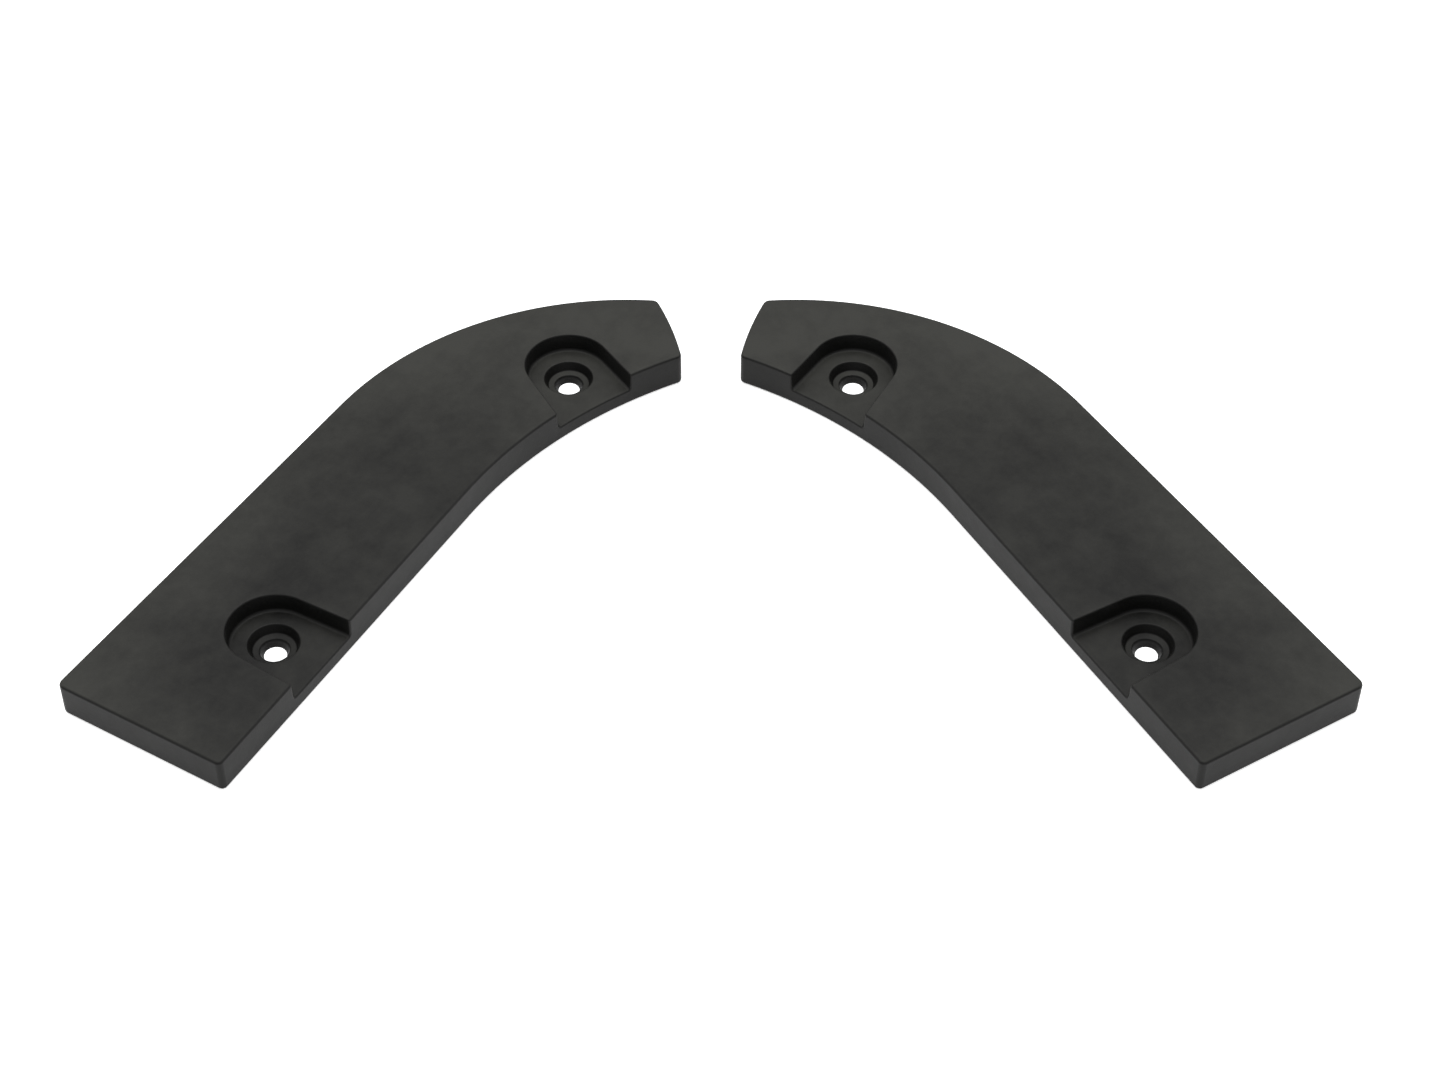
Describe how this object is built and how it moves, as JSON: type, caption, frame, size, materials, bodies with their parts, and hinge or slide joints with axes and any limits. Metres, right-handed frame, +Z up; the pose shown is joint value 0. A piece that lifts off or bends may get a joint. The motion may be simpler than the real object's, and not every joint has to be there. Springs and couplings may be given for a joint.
{
  "type": "skate blade guards",
  "caption": "Handed pair of flat moulded-rubber blade guards, straight then curved, each with stepped bolt seats in pockets open to the inner edge.",
  "frame": {"origin": "centre of the pair's footprint, on the surface that the pair lies on", "axes": "+X across the pair from the left guard to the right guard, +Y towards the angled ends, +Z up out of the faces with the bolt pockets"},
  "size_m": [0.332, 0.1766, 0.0104],
  "materials": {
    "moulded_rubber": "satin black moulded rubber, faintly mottled, with slightly lighter rubbed edges"
  },
  "bodies": {
    "left_guard": {"left_guard": "moulded_rubber"},
    "right_guard": {"right_guard": "moulded_rubber"}
  },
  "joints": [
    {"name": "right_guard_slide", "type": "slide", "parent": "left_guard", "child": "right_guard", "axis": [1, 0, 0], "range_m": [-0.012, 0.1]}
  ]
}
